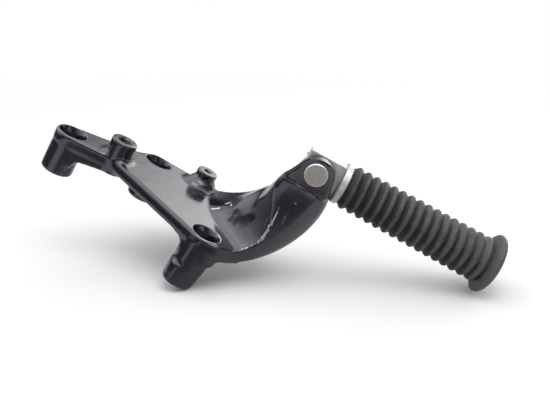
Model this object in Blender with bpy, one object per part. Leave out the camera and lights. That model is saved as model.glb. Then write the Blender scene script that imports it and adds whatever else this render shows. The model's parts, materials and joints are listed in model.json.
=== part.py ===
"""Cast motorcycle footrest hanger with a folding, rubber-covered footrest.

Units are metres and +Z is up. The footrest is open and points along +X. The
hanger's plate lies flat with its counterbores facing up. The origin is the
centre of the front boss's foot, on that bolt's axis.
"""

import math

import bmesh
import bpy
from mathutils import Matrix, Vector

# Fits between pieces
SEAT_GAP = 0.0003
OVERLAP = 0.002

# Plate and its three bolt bosses, bored from above
PLATE_TOP = 0.037
PLATE_THICKNESS = 0.0085
PLATE_EDGE_ROUND = 0.002
LEFT_BOLT_X = -0.1075
LEFT_BOLT_Y = 0.041
BACK_BOLT_X = -0.0516
BACK_BOLT_Y = 0.0711
REAR_FOOT_Z = 0.008
BOSS_RADIUS = 0.0107
BOSS_RIM = 0.0004
COUNTERBORE_RADIUS = 0.00935
COUNTERBORE_DEPTH = 0.015
COUNTERBORE_CHAMFER = 0.0006
BOLT_HOLE_RADIUS = 0.0053
FRONT_FOOT_X = -0.0022
FRONT_FOOT_Y = -0.0014
FRONT_FOOT_RADIUS = 0.0104
FRONT_FOOT_HEIGHT = 0.0132
FRONT_COLUMN_X = -0.0007
FRONT_COLUMN_RADIUS = 0.0112
FRONT_COLUMN_WAIST = 0.009
SHOULDER_DEPTH = 0.0085
SHOULDER_LEFT_X = -0.0068
SHOULDER_LEFT_Y = -0.0022
SHOULDER_LEFT_RADIUS = 0.0053
SHOULDER_RIGHT_X = 0.0045
SHOULDER_RIGHT_RADIUS = 0.0087
SHOULDER_FAR_Y = 0.007
SHOULDER_FAR_RADIUS = 0.009
WAIST_DEPTH = 0.0062
WAIST_FILLET = 0.004
WAIST_FROM_BACK_BOLT = 0.0155
DENT_RADIUS = 0.014
DENT_SHIFT = 0.004
NOTCH_SHARE = 0.42
ARM_TOE_X = 0.008
ARM_TOE_RADIUS = 0.0065
ARM_TOE_SHRINK = 0.0001
ARM_HEEL_X = 0.020
ARM_HEEL_Y = 0.0003
ARM_EDGE_RADIUS = 0.004
ARM_EDGE_X = 0.007

# Webs under the plate
LEFT_WEB_DEPTH = 0.0055
LEFT_WEB_END_DEPTH = 0.0032
LEFT_WEB_THICKNESS = 0.008
LEFT_WEB_FILLET = 0.006
LEFT_WEB_NEAR = 0.006
WALL_WEB_THICKNESS = 0.007
WALL_WEB_LENGTH = 0.022
WALL_WEB_DEPTH = 0.0006
WALL_WEB_ROOT = 0.0072
WALL_WEB_FILLET = 0.0055
ARM_WEB_X = 0.024
ARM_WEB_Y = 0.006
ARM_WEB_DEPTH = 0.003
ARM_WEB_THICKNESS = 0.013
ARM_WEB_FILLET = 0.008

# Threaded bosses on the plate
PEDAL_BOSS_X = -0.0752
PEDAL_BOSS_Y = 0.0423
PEDAL_BOSS_RADIUS = 0.0088
PEDAL_BOSS_RISE = 0.012
PEDAL_THREAD_RADIUS = 0.0044
SWITCH_BOSS_X = -0.0182
SWITCH_BOSS_Y = 0.0722
SWITCH_BOSS_RADIUS = 0.0074
SWITCH_BOSS_RISE = 0.011
SWITCH_THREAD_RADIUS = 0.0026
SWITCH_THREAD_DEPTH = 0.015
PEDAL_THREAD_DEPTH = 0.026
SWITCH_PAD_RADIUS = 0.012
SWITCH_PAD_OFFSET = 0.003
SWITCH_FOOT_RADIUS = 0.0095
SWITCH_FOOT_RISE = 0.0045
THREAD_CHAMFER = 0.0006

# Fork at the arm's upper end, and its pivot
PIVOT_X = 0.0382
PIVOT_Z = 0.1057
FORK_Y = 0.007
FORK_WIDTH = 0.024
CAST_SKIN = 0.001
NEAR_EAR_RADIUS = 0.0115
FAR_EAR_RADIUS = 0.0082
NEAR_EAR_FLARE = 0.0062
FAR_EAR_FLARE = 0.0048
EAR_RIGHT_EXTRA = 0.0024
EAR_EDGE_ROUND = 0.0032
EAR_CORNER_RADIUS = 0.003
EAR_ROOT_DEPTH = 0.016
EAR_STEP_DEPTH = 0.009
ARM_HEAD_DROP = 0.004
ARM_INSET = 0.0002
ARM_SIDE_BULGE = 0.0007
ARM_OUTER_BULGE = 0.0048
ARM_EDGE_BULGE = 0.0018
ARM_RIDGE_INSET = 0.005
ARM_LEFT_REACH = 0.0022
SLOT_DEPTH = 0.0125
STOP_DROP = 0.0115
STOP_THICKNESS = 0.007
SPOT_FACE_BELOW = 0.0113
SPOT_FACE_ABOVE = 0.0078

# Pivot pin, washer and split pin
PIN_RADIUS = 0.0048
PIN_HEAD_RADIUS = 0.0071
PIN_HEAD_THICKNESS = 0.0022
PIN_TAIL = 0.0052
WASHER_RADIUS = 0.0074
WASHER_THICKNESS = 0.0016
SPLIT_SHAFT_RADIUS = 0.0011
SPLIT_WIRE_RADIUS = 0.0007
SPLIT_EYE_RADIUS = 0.0017
SPLIT_LEG_LENGTH = 0.0045

# Footrest bar
REST_TILT = 1.0
LUG_THICKNESS = 0.008
LUG_BACK = 0.0086
LUG_ABOVE = 0.0103
LUG_BELOW = 0.0068
BAR_DROP = 0.0005
COLLAR_START = 0.0155
COLLAR_THICKNESS = 0.0044
COLLAR_RADIUS = 0.013
ROD_RADIUS = 0.007
ROD_LENGTH = 0.094

# Rubber sleeve; a rib's foot and shoulder are shares of the ribs' pitch
END_WALL = 0.010
RIB_COUNT = 16
FIRST_RIB = 0.0037
RIB_RADIUS_START = 0.014
RIB_RADIUS_END = 0.015
RIB_HEIGHT = 0.0017
RIB_FOOT = 0.365
RIB_SHOULDER = 0.18
RIB_SHOULDER_DROP = 0.25
FLARE_RADIUS = 0.0195
FLARE_LENGTH = 0.0073
FLARE_RIM = 0.45

ROUND_SEGMENTS = 40
SLEEVE_SEGMENTS = 28

LEFT_BOLT = Vector((LEFT_BOLT_X, LEFT_BOLT_Y))
BACK_BOLT = Vector((BACK_BOLT_X, BACK_BOLT_Y))
FRONT_BOLT = Vector((0.0, 0.0))
PEDAL_BOSS = Vector((PEDAL_BOSS_X, PEDAL_BOSS_Y))
SWITCH_BOSS = Vector((SWITCH_BOSS_X, SWITCH_BOSS_Y))
PLATE_BOTTOM = PLATE_TOP - PLATE_THICKNESS
NEAR_FACE = FORK_Y - FORK_WIDTH / 2
FAR_FACE = FORK_Y + FORK_WIDTH / 2
SLOT_WIDTH = LUG_THICKNESS + 2 * SEAT_GAP
SLOT_FLOOR = PIVOT_Z - SLOT_DEPTH
EAR_RIGHT_REACH = NEAR_EAR_RADIUS + EAR_RIGHT_EXTRA
SLEEVE_LENGTH = ROD_LENGTH + END_WALL
RIB_PITCH = (SLEEVE_LENGTH - FLARE_LENGTH - FIRST_RIB) / (RIB_COUNT - 1 + RIB_FOOT)


def clear_scene():
    for item in list(bpy.data.objects):
        bpy.data.objects.remove(item, do_unlink=True)


def new_object(name, bm, material=None):
    """Turn a bmesh into an object with outward faces."""
    bmesh.ops.recalc_face_normals(bm, faces=bm.faces)
    mesh = bpy.data.meshes.new(name)
    bm.to_mesh(mesh)
    bm.free()
    item = bpy.data.objects.new(name, mesh)
    bpy.context.collection.objects.link(item)
    if material:
        mesh.materials.append(material)
    return item


def metal_or_rubber(name, color, roughness, metallic):
    material = bpy.data.materials.new(name)
    material.use_nodes = True
    shader = material.node_tree.nodes["Principled BSDF"]
    shader.inputs["Base Color"].default_value = (*color, 1.0)
    shader.inputs["Roughness"].default_value = roughness
    shader.inputs["Metallic"].default_value = metallic
    return material


def shade_round(item, degrees=35):
    item.data.shade_smooth()
    item.data.set_sharp_from_angle(angle=math.radians(degrees))


def combine(item, tool, operation):
    """Add or cut with a helper object that stays out of the model."""
    tool.hide_render = True
    tool.display_type = "WIRE"
    tool.hide_set(True)
    step = item.modifiers.new(tool.name, "BOOLEAN")
    step.operation = operation
    step.object = tool
    step.solver = "EXACT"


def add(item, tool):
    combine(item, tool, "UNION")


def cut(item, tool):
    combine(item, tool, "DIFFERENCE")


def round_edges(item, width, segments=3):
    step = item.modifiers.new("edge_round", "BEVEL")
    step.width = width
    step.segments = segments
    step.limit_method = "ANGLE"
    step.angle_limit = math.radians(50)


def prism(name, outline, low, high, frame=None):
    """Extrude a closed 2D outline along its own Z, then place it with a matrix."""
    frame = frame or Matrix.Identity(4)
    bm = bmesh.new()
    bottom = [bm.verts.new(frame @ Vector((p[0], p[1], low))) for p in outline]
    top = [bm.verts.new(frame @ Vector((p[0], p[1], high))) for p in outline]
    bm.faces.new(list(reversed(bottom)))
    bm.faces.new(top)
    count = len(outline)
    for i in range(count):
        j = (i + 1) % count
        bm.faces.new((bottom[i], bottom[j], top[j], top[i]))
    return new_object(name, bm)


def turned(name, profile, frame=None, segments=ROUND_SEGMENTS, material=None, hollow=False):
    """Revolve (radius, height) points about Z, with flat caps or as a hollow ring."""
    frame = frame or Matrix.Identity(4)
    bm = bmesh.new()
    rings = []
    for radius, height in profile:
        ring = []
        for i in range(segments):
            angle = 2 * math.pi * i / segments
            point = Vector((radius * math.cos(angle), radius * math.sin(angle), height))
            ring.append(bm.verts.new(frame @ point))
        rings.append(ring)
    if hollow:
        rings.append(rings[0])
    else:
        bm.faces.new(rings[0])
        bm.faces.new(rings[-1])
    for first, second in zip(rings, rings[1:]):
        for i in range(segments):
            j = (i + 1) % segments
            bm.faces.new((first[i], second[i], second[j], first[j]))
    return new_object(name, bm, material)


def block(name, low, high):
    corners = ((low[0], low[1]), (high[0], low[1]), (high[0], high[1]), (low[0], high[1]))
    return prism(name, corners, low[2], high[2])


def column(name, centre, radius, low, high, spin=0):
    frame = Matrix.Translation((centre[0], centre[1], 0)) @ Matrix.Rotation(math.radians(spin), 4, "Z")
    return turned(name, ((radius, low), (radius, high)), frame)


def belt(circles, step_degrees=12):
    """Outline through circles (x, y, radius): outside positive radii, inside negative ones.

    The circles are listed anticlockwise and are joined by their common tangents.
    """
    count = len(circles)
    normals = []
    for i in range(count):
        x0, y0, r0 = circles[i]
        x1, y1, r1 = circles[(i + 1) % count]
        span = Vector((x1 - x0, y1 - y0))
        turn = math.acos((r0 - r1) / span.length)
        normals.append(math.atan2(span.y, span.x) - turn)
    outline = []
    for i in range(count):
        x, y, radius = circles[i]
        start = normals[i - 1]
        sweep = (normals[i] - start) % (2 * math.pi)
        if radius < 0:
            sweep -= 2 * math.pi
        steps = max(1, math.ceil(math.degrees(abs(sweep)) / step_degrees))
        for k in range(steps + 1):
            angle = start + sweep * k / steps
            outline.append((x + radius * math.cos(angle), y + radius * math.sin(angle)))
    return outline


def bezier(points, t):
    """Point on a cubic curve given by its two ends and their handles."""
    start, leave, arrive, end = points
    return (
        start * (1 - t) ** 3
        + leave * 3 * t * (1 - t) ** 2
        + arrive * 3 * t**2 * (1 - t)
        + end * t**3
    )


def smooth_run(points, pieces):
    """Points along a smooth curve that passes through the given ones."""
    extended = [points[0] * 2 - points[1]] + list(points) + [points[-1] * 2 - points[-2]]
    run = []
    for i in range(1, len(extended) - 2):
        a, b, c, d = extended[i - 1 : i + 3]
        for k in range(pieces):
            t = k / pieces
            run.append(
                0.5
                * (
                    b * 2
                    + (c - a) * t
                    + (a * 2 - b * 5 + c * 4 - d) * t**2
                    + (b * 3 - a - c * 3 + d) * t**3
                )
            )
    run.append(points[-1])
    return run


def arm_rails():
    """Edges of the arm, each a curve from the plate's corner up to the fork.

    A handle is given by its distance from its own end, so the arm follows the
    plate, the pivot and the fork's width.
    """
    top, bottom = PLATE_TOP, PLATE_BOTTOM
    head = PIVOT_Z - ARM_HEAD_DROP
    left = PIVOT_X - NEAR_EAR_RADIUS - ARM_LEFT_REACH
    right = PIVOT_X + EAR_RIGHT_REACH
    ridge = right - ARM_RIDGE_INSET
    near = NEAR_FACE - CAST_SKIN + ARM_INSET
    far = FAR_FACE + CAST_SKIN - ARM_INSET
    outer = BOSS_RADIUS + BOSS_RIM
    far_x, far_y = SWITCH_BOSS_X, SWITCH_BOSS_Y
    rails = {
        "ridge": ((0.006, 0.0015 - outer, top - 0.0005), (0.026, 0.0135, -0.0085),
                  (-0.0035, -0.004, -0.028), (ridge, near, head)),
        "keel": ((0.009, 0.004 - outer, bottom - 0.0022), (0.0274, 0.0165, -0.007),
                 (0.0077, -0.003, -0.0225), (right, near + 0.007, head - 0.002)),
        "back": ((0.004, 0.030, bottom - 0.001), (0.0245, -0.0115, -0.006),
                 (0.0044, 0.005, -0.026), (right, FORK_Y + 0.004, head - 0.002)),
        "far_back": ((far_x - 0.004, far_y + 0.002, bottom - 0.001), (0.032, 0.005, -0.008),
                     (-0.015, -0.003, -0.022), (right, far, head - 0.002)),
        "far_edge": ((far_x - 0.004, far_y + 0.006, top - 0.002), (0.026, 0.002, -0.002),
                     (-0.004, -0.011, -0.022), (left + 0.005, far, head)),
        "saddle": ((far_x + 0.002, far_y / 2, top - 0.003), (0.029, 0.005, -0.002),
                   (-0.010, 0.001, -0.021), (left + 0.0007, FORK_Y - 0.006, head)),
        "corner": ((0.0, 0.004, top - 0.0025), (0.048, -0.003, -0.003),
                   (-0.011, -0.002, -0.022), (left + 0.0004, near, head)),
    }
    curves = {}
    for name, (start, leave, arrive, end) in rails.items():
        start, end = Vector(start), Vector(end)
        curves[name] = (start, start + Vector(leave), end + Vector(arrive), end)
    return curves


def arm(stations=22):
    """Loft from the plate's right edge, narrowing and turning into the fork."""
    rails = arm_rails()
    bm = bmesh.new()
    rings = []
    for k in range(stations + 1):
        t = k / stations
        at = {name: bezier(curve, t) for name, curve in rails.items()}
        swell = Vector((1, -1, 0)) * ARM_SIDE_BULGE * math.sin(math.pi * t / 2)
        side_bulge = (at["ridge"] + at["keel"]) / 2 + swell
        edge_bulge = (at["far_back"] + at["far_edge"]) / 2 + Vector((0, ARM_EDGE_BULGE, 0))
        outward = (at["keel"] - at["corner"]).normalized() * ARM_OUTER_BULGE * math.sin(math.pi * t)
        outer_bulge = at["keel"].lerp(at["back"], 0.35) + outward
        ring = smooth_run([at["ridge"], side_bulge, at["keel"]], 3)[:-1]
        ring += smooth_run([at["keel"], outer_bulge, at["back"], at["far_back"]], 3)[:-1]
        ring += smooth_run([at["far_back"], edge_bulge, at["far_edge"]], 2)[:-1]
        ring += smooth_run([at["far_edge"], at["saddle"], at["corner"], at["ridge"]], 4)[:-1]
        rings.append([bm.verts.new(point) for point in ring])
    for lower, upper in zip(rings, rings[1:]):
        count = len(lower)
        for i in range(count):
            j = (i + 1) % count
            bm.faces.new((lower[i], lower[j], upper[j], upper[i]))
    bm.faces.new(list(reversed(rings[0])))
    bm.faces.new(rings[-1])
    bmesh.ops.triangulate(bm, faces=bm.faces)
    return new_object("arm_form", bm)


def plate():
    """Flat web that joins the bosses, with a waist on its far edge and rounded edges."""
    outer = BOSS_RADIUS + BOSS_RIM
    rear = (BACK_BOLT - LEFT_BOLT).normalized()
    outward = Vector((-rear.y, rear.x))
    waist = BACK_BOLT - rear * WAIST_FROM_BACK_BOLT + outward * (WAIST_DEPTH + WAIST_FILLET)
    dent = dent_centre()
    pad = switch_pad_centre()
    notch = BACK_BOLT + (pad - BACK_BOLT) * NOTCH_SHARE + Vector((0, outer + WAIST_FILLET))
    circles = (
        (FRONT_BOLT.x, FRONT_BOLT.y, outer),
        (ARM_TOE_X, ARM_TOE_RADIUS + ARM_TOE_SHRINK - outer, ARM_TOE_RADIUS),
        (ARM_HEEL_X, ARM_HEEL_Y, ARM_EDGE_RADIUS),
        (SWITCH_BOSS.x + ARM_EDGE_X, SWITCH_BOSS.y + ARM_EDGE_RADIUS, ARM_EDGE_RADIUS),
        (pad.x, pad.y, SWITCH_PAD_RADIUS),
        (notch.x, notch.y, -WAIST_FILLET),
        (BACK_BOLT.x, BACK_BOLT.y, outer),
        (waist.x, waist.y, -WAIST_FILLET),
        (LEFT_BOLT.x, LEFT_BOLT.y, outer),
        (dent.x, dent.y, -DENT_RADIUS),
    )
    item = prism("hanger", belt(circles), PLATE_BOTTOM, PLATE_TOP)
    round_edges(item, PLATE_EDGE_ROUND)
    return item


def dent_centre():
    """Centre of the hollow in the near wall beside the pedal boss."""
    return PEDAL_BOSS - Vector((DENT_SHIFT, PEDAL_BOSS_RADIUS - BOSS_RIM + DENT_RADIUS))


def near_wall_normal():
    """Direction that the plate's near wall faces, between the dent and the front boss."""
    span = FRONT_BOLT - dent_centre()
    turn = math.acos((-DENT_RADIUS - BOSS_RADIUS - BOSS_RIM) / span.length)
    angle = math.atan2(span.y, span.x) - turn
    return Vector((math.cos(angle), math.sin(angle)))


def switch_pad_centre():
    return SWITCH_BOSS - Vector((SWITCH_PAD_OFFSET, SWITCH_PAD_OFFSET))


def web(name, start, end, depths, thickness, root, fillet):
    """Rib under the plate that flares into a boss at its start."""
    depth_start, depth_end = depths
    along = end - start
    top = PLATE_BOTTOM + OVERLAP
    low = PLATE_BOTTOM - depth_start
    points = [(0, top), (0, low - fillet), (root, low - fillet)]
    for k in range(1, 6):
        angle = math.pi / 2 * k / 6
        points.append((root + fillet * (1 - math.cos(angle)), low - fillet * (1 - math.sin(angle))))
    points += [(root + fillet, low), (along.length, PLATE_BOTTOM - depth_end), (along.length, top)]
    direction = Vector((along.x, along.y, 0)).normalized()
    side = Vector((0, 0, 1)).cross(direction)
    frame = Matrix((
        (direction.x, 0, side.x, start.x),
        (direction.y, 0, side.y, start.y),
        (0, 1, 0, 0),
        (0, 0, 0, 1),
    ))
    return prism(name, points, -thickness / 2, thickness / 2, frame)


def ear(name, radius, flare, low, high):
    """One side of the fork, round at the top, its left flank leaning out to the arm."""
    corner = EAR_CORNER_RADIUS
    right = EAR_RIGHT_REACH - corner
    circles = (
        (0, 0, radius),
        (corner - radius - flare, -EAR_ROOT_DEPTH, corner),
        (right - ARM_RIDGE_INSET, -EAR_ROOT_DEPTH, corner),
        (right, -EAR_STEP_DEPTH, corner),
    )
    frame = Matrix((
        (1, 0, 0, PIVOT_X),
        (0, 0, 1, 0),
        (0, 1, 0, PIVOT_Z),
        (0, 0, 0, 1),
    ))
    item = prism(name, belt(circles), low, high, frame)
    round_edges(item, EAR_EDGE_ROUND)
    return item


def stepped_hole(name, centre, profile):
    frame = Matrix.Translation((centre.x, centre.y, 0))
    return turned(name, profile, frame)


def bolt_hole(name, centre):
    """Bolt hole with a chamfered counterbore, open at both ends."""
    seat = PLATE_TOP - COUNTERBORE_DEPTH
    rim = COUNTERBORE_RADIUS + COUNTERBORE_CHAMFER
    profile = (
        (BOLT_HOLE_RADIUS, -0.001),
        (BOLT_HOLE_RADIUS, seat),
        (COUNTERBORE_RADIUS, seat),
        (COUNTERBORE_RADIUS, PLATE_TOP - COUNTERBORE_CHAMFER),
        (rim, PLATE_TOP),
        (rim, PLATE_TOP + 0.001),
    )
    return stepped_hole(name, centre, profile)


def tapped_hole(name, centre, radius, rise, depth):
    top = PLATE_TOP + rise
    rim = radius + THREAD_CHAMFER
    profile = (
        (radius, top - depth),
        (radius, top - THREAD_CHAMFER),
        (rim, top),
        (rim, top + 0.001),
    )
    return stepped_hole(name, centre, profile)


def along_y(x, z):
    """Frame whose own Z runs along the part's Y through the point (x, z)."""
    return Matrix((
        (1, 0, 0, x),
        (0, 0, 1, 0),
        (0, 1, 0, z),
        (0, 0, 0, 1),
    ))


def hanger(material):
    """The one-piece casting: plate, bosses, webs, arm and fork."""
    item = plate()
    inside = PLATE_BOTTOM + PLATE_THICKNESS / 2
    add(item, arm())
    add(item, column("left_boss", LEFT_BOLT, BOSS_RADIUS, REAR_FOOT_Z, inside))
    add(item, column("back_boss", BACK_BOLT, BOSS_RADIUS, REAR_FOOT_Z, inside))
    foot = (FRONT_FOOT_X, FRONT_FOOT_Y)
    add(item, column("front_foot", foot, FRONT_FOOT_RADIUS, 0, FRONT_FOOT_HEIGHT, 3))
    front_column = (
        (FRONT_COLUMN_WAIST, OVERLAP),
        (FRONT_COLUMN_RADIUS, FRONT_FOOT_HEIGHT),
        (FRONT_COLUMN_RADIUS, inside),
    )
    add(item, turned("front_boss", front_column, Matrix.Translation((FRONT_COLUMN_X, 0, 0))))
    shoulder = (
        (SHOULDER_LEFT_X, SHOULDER_LEFT_Y, SHOULDER_LEFT_RADIUS),
        (FRONT_BOLT.x, FRONT_BOLT.y, BOSS_RADIUS + BOSS_RIM / 2),
        (SHOULDER_RIGHT_X, SHOULDER_RIGHT_RADIUS - BOSS_RADIUS, SHOULDER_RIGHT_RADIUS),
        (FRONT_BOLT.x, SHOULDER_FAR_Y, SHOULDER_FAR_RADIUS),
    )
    add(item, prism("front_shoulder", belt(shoulder), PLATE_BOTTOM - SHOULDER_DEPTH, inside))
    pedal_top = PLATE_TOP + PEDAL_BOSS_RISE
    add(item, column("pedal_boss", PEDAL_BOSS, PEDAL_BOSS_RADIUS, PLATE_BOTTOM - 0.003, pedal_top))
    foot_top = PLATE_TOP + SWITCH_FOOT_RISE
    pad_base = SWITCH_PAD_RADIUS - BOSS_RIM
    pad_profile = (
        (pad_base, inside),
        (pad_base, PLATE_TOP - OVERLAP),
        (SWITCH_BOSS_RADIUS, foot_top - 0.0015),
    )
    add(item, stepped_hole("switch_pad", switch_pad_centre(), pad_profile))
    switch_profile = (
        (SWITCH_FOOT_RADIUS, inside),
        (SWITCH_FOOT_RADIUS, foot_top - 0.001),
        (SWITCH_BOSS_RADIUS, foot_top),
        (SWITCH_BOSS_RADIUS, PLATE_TOP + SWITCH_BOSS_RISE),
    )
    add(item, stepped_hole("switch_boss", SWITCH_BOSS, switch_profile))
    near = Vector((0, -LEFT_WEB_NEAR))
    left_depths = (LEFT_WEB_DEPTH, LEFT_WEB_END_DEPTH)
    add(item, web("left_web", LEFT_BOLT + near, PEDAL_BOSS + near / 2, left_depths,
                  LEFT_WEB_THICKNESS, BOSS_RADIUS - OVERLAP, LEFT_WEB_FILLET))
    normal = near_wall_normal()
    wall_start = FRONT_BOLT + normal * (BOSS_RADIUS - WALL_WEB_THICKNESS / 2)
    wall_end = wall_start + Vector((normal.y, -normal.x)) * WALL_WEB_LENGTH
    add(item, web("wall_web", wall_start, wall_end, (WALL_WEB_DEPTH, -OVERLAP / 2),
                  WALL_WEB_THICKNESS, WALL_WEB_ROOT, WALL_WEB_FILLET))
    arm_root = Vector((ARM_WEB_X, ARM_WEB_Y))
    add(item, web("arm_web", FRONT_BOLT, arm_root, (ARM_WEB_DEPTH, 0.0),
                  ARM_WEB_THICKNESS, BOSS_RADIUS - OVERLAP / 2, ARM_WEB_FILLET))

    add(item, ear("near_ear", NEAR_EAR_RADIUS, NEAR_EAR_FLARE, NEAR_FACE - CAST_SKIN, FORK_Y))
    add(item, ear("far_ear", FAR_EAR_RADIUS, FAR_EAR_FLARE, FORK_Y - OVERLAP, FAR_FACE + CAST_SKIN))

    for name, centre in (("left_hole", LEFT_BOLT), ("back_hole", BACK_BOLT), ("front_hole", FRONT_BOLT)):
        cut(item, bolt_hole(name, centre))
    threads = (
        ("pedal_thread", PEDAL_BOSS, PEDAL_THREAD_RADIUS, PEDAL_BOSS_RISE, PEDAL_THREAD_DEPTH),
        ("switch_thread", SWITCH_BOSS, SWITCH_THREAD_RADIUS, SWITCH_BOSS_RISE, SWITCH_THREAD_DEPTH),
    )
    for thread in threads:
        cut(item, tapped_hole(*thread))

    reach = 0.03
    slot_low = (PIVOT_X - reach, FORK_Y - SLOT_WIDTH / 2, SLOT_FLOOR)
    slot_high = (PIVOT_X + reach, FORK_Y + SLOT_WIDTH / 2, PIVOT_Z + reach)
    cut(item, block("fork_slot", slot_low, slot_high))
    face_low = PIVOT_Z - SPOT_FACE_BELOW
    face_high = PIVOT_Z + SPOT_FACE_ABOVE
    cut(item, block("near_spot_face", (PIVOT_X - reach, NEAR_FACE - 0.01, face_low),
                    (PIVOT_X + reach, NEAR_FACE, face_high)))
    cut(item, block("far_spot_face", (PIVOT_X - reach, FAR_FACE, face_low),
                    (PIVOT_X + reach, FAR_FACE + 0.01, face_high)))
    stop_high = PIVOT_Z - STOP_DROP
    stop_low = (PIVOT_X + 0.005, FORK_Y - SLOT_WIDTH / 2 - OVERLAP, stop_high - STOP_THICKNESS)
    add(item, block("stop_lip", stop_low,
                    (PIVOT_X + COLLAR_START - SEAT_GAP, FORK_Y + SLOT_WIDTH / 2 + OVERLAP, stop_high)))
    bore = PIN_RADIUS + SEAT_GAP
    profile = ((bore, NEAR_FACE - 0.01), (bore, FAR_FACE + 0.01))
    cut(item, turned("pivot_bore", profile, along_y(PIVOT_X, PIVOT_Z)))
    item.data.materials.append(material)
    shade_round(item)
    return item


def pivot_pin(material):
    """Headed pin with a cross hole for the split pin."""
    head = NEAR_FACE - SEAT_GAP
    face = head - PIN_HEAD_THICKNESS
    tail = split_pin_y() + PIN_TAIL / 2
    chamfer = 0.0005
    profile = (
        (PIN_HEAD_RADIUS - chamfer, face),
        (PIN_HEAD_RADIUS, face + chamfer),
        (PIN_HEAD_RADIUS, head),
        (PIN_RADIUS, head),
        (PIN_RADIUS, tail - chamfer),
        (PIN_RADIUS - chamfer, tail),
    )
    item = turned("pivot_pin", profile, along_y(PIVOT_X, PIVOT_Z), material=material)
    hole = split_hole_radius()
    frame = Matrix.Translation((PIVOT_X, split_pin_y(), PIVOT_Z)) @ Matrix.Rotation(math.pi / 2, 4, "Y")
    ends = 2 * PIN_RADIUS
    cut(item, turned("split_hole", ((hole, -ends), (hole, ends)), frame, 20))
    shade_round(item)
    return item


def split_hole_radius():
    return SPLIT_SHAFT_RADIUS + SEAT_GAP


def split_pin_y():
    """Place of the split pin, just clear of the washer."""
    return FAR_FACE + 2 * SEAT_GAP + WASHER_THICKNESS + SPLIT_SHAFT_RADIUS


def pin_washer(material):
    low = FAR_FACE + SEAT_GAP
    high = low + WASHER_THICKNESS
    inner = PIN_RADIUS + SEAT_GAP
    edge = 0.0002
    profile = (
        (inner, low),
        (WASHER_RADIUS - edge, low),
        (WASHER_RADIUS, low + edge),
        (WASHER_RADIUS, high - edge),
        (WASHER_RADIUS - edge, high),
        (inner, high),
    )
    frame = along_y(PIVOT_X, PIVOT_Z)
    item = turned("pin_washer", profile, frame, material=material, hollow=True)
    shade_round(item)
    return item


def tube(name, path, radius, segments=8, material=None):
    """Round wire along points in the plane y = 0, with flat ends."""
    bm = bmesh.new()
    rings = []
    for i, point in enumerate(path):
        before = path[max(i - 1, 0)]
        after = path[min(i + 1, len(path) - 1)]
        along = (after - before).normalized()
        across = Vector((-along.z, 0, along.x))
        ring = []
        for k in range(segments):
            angle = 2 * math.pi * k / segments
            offset = across * math.cos(angle) + Vector((0, 1, 0)) * math.sin(angle)
            ring.append(bm.verts.new(point + offset * radius))
        rings.append(ring)
    for first, second in zip(rings, rings[1:]):
        for i in range(segments):
            j = (i + 1) % segments
            bm.faces.new((first[i], first[j], second[j], second[i]))
    bm.faces.new(list(reversed(rings[0])))
    bm.faces.new(rings[-1])
    return new_object(name, bm, material)


def split_pin(material):
    """Split pin through the pivot: eye on one side, two spread legs on the other."""
    x_end = PIN_RADIUS + SPLIT_EYE_RADIUS
    centre = Vector((PIVOT_X, split_pin_y(), PIVOT_Z))
    shaft = [centre - Vector((PIN_RADIUS + SPLIT_SHAFT_RADIUS, 0, 0)), centre + Vector((x_end, 0, 0))]
    item = tube("split_pin", shaft, SPLIT_SHAFT_RADIUS, 12, material)
    eye = Matrix.Translation(centre + Vector((x_end + SPLIT_EYE_RADIUS, 0, 0)))
    wire = []
    for k in range(8):
        angle = math.radians(45 * k)
        wire.append((SPLIT_EYE_RADIUS + SPLIT_WIRE_RADIUS * math.cos(angle), SPLIT_WIRE_RADIUS * math.sin(angle)))
    eye = eye @ Matrix.Rotation(math.pi / 2, 4, "X")
    add(item, turned("split_eye", wire, eye, 20, hollow=True))
    for name, side in (("upper_leg", 1), ("lower_leg", -1)):
        root = centre - Vector((PIN_RADIUS, 0, 0))
        path = [root]
        for k in range(1, 6):
            angle = math.radians(14 * k)
            step = Vector((-math.cos(angle), 0, side * math.sin(angle)))
            path.append(path[-1] + step * SPLIT_LEG_LENGTH / 5)
        add(item, tube(name, path, SPLIT_WIRE_RADIUS))
    shade_round(item)
    return item


def along_x(start):
    """Frame whose own Z runs along the footrest, from a distance past the pivot."""
    axis = Matrix.Translation((start, FORK_Y, -BAR_DROP))
    return axis @ Matrix.Rotation(math.pi / 2, 4, "Y")


def footrest_bar(material):
    """Forged bar: flat lug in the fork, round collar and the rod in the sleeve."""
    edge = 0.0008
    end = COLLAR_THICKNESS + ROD_LENGTH
    profile = (
        (COLLAR_RADIUS - edge, 0),
        (COLLAR_RADIUS, edge),
        (COLLAR_RADIUS, COLLAR_THICKNESS - edge),
        (COLLAR_RADIUS - edge, COLLAR_THICKNESS),
        (ROD_RADIUS, COLLAR_THICKNESS),
        (ROD_RADIUS, end - 2 * edge),
        (ROD_RADIUS - 2 * edge, end),
    )
    item = turned("footrest_bar", profile, along_x(COLLAR_START), material=material)
    half = LUG_THICKNESS / 2
    lug = block("lug", (-LUG_BACK, FORK_Y - half, -LUG_BELOW), (COLLAR_START + OVERLAP, FORK_Y + half, LUG_ABOVE))
    round_edges(lug, 0.0006, 2)
    add(item, lug)
    bore = PIN_RADIUS + SEAT_GAP
    low, high = FORK_Y - LUG_THICKNESS, FORK_Y + LUG_THICKNESS
    cut(item, turned("lug_bore", ((bore, low), (bore, high)), along_y(0, 0)))
    shade_round(item)
    return item


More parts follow.
